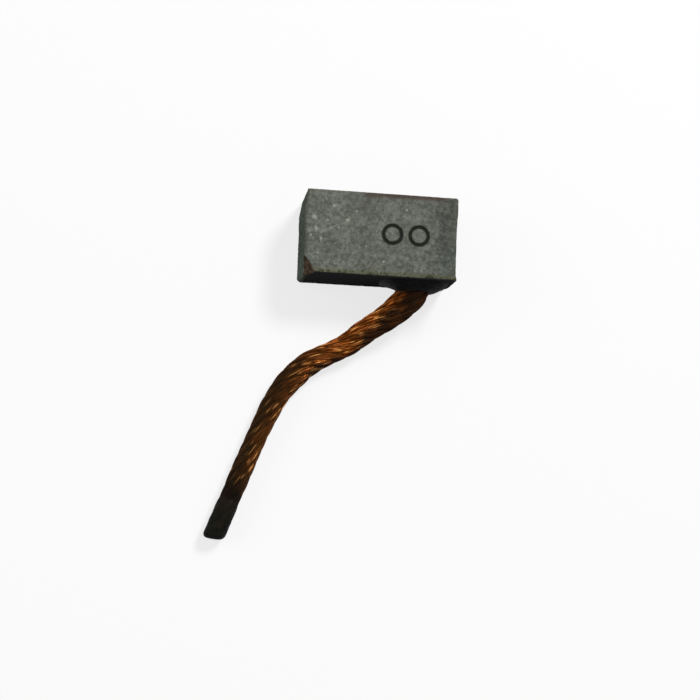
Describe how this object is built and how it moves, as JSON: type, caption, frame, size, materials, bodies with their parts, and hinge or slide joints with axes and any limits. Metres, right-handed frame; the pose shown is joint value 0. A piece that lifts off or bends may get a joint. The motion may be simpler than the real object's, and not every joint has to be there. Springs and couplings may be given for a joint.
{
  "type": "carbon brush",
  "caption": "Rectangular copper-graphite motor brush with a short stranded copper lead fixed in its side and a fused lead tip.",
  "frame": {"origin": "middle of the block's back face, on which the brush lies", "axes": "+Z out of the marked front face; +X along the block from the commutator end to the spring end; the lead leaves the -Y side near +X"},
  "size_m": [0.0245, 0.0366, 0.0065],
  "materials": {
    "copper_graphite": "matte",
    "contact_powder": "matte",
    "dark_cement": "matte",
    "bare_copper": "satin",
    "fused_end": "satin"
  },
  "bodies": {
    "root": {"carbon_block": "copper_graphite", "tamping_powder": "contact_powder", "sealing_cement": "dark_cement", "copper_shunt": "bare_copper", "fused_tip": "fused_end"}
  },
  "joints": []
}
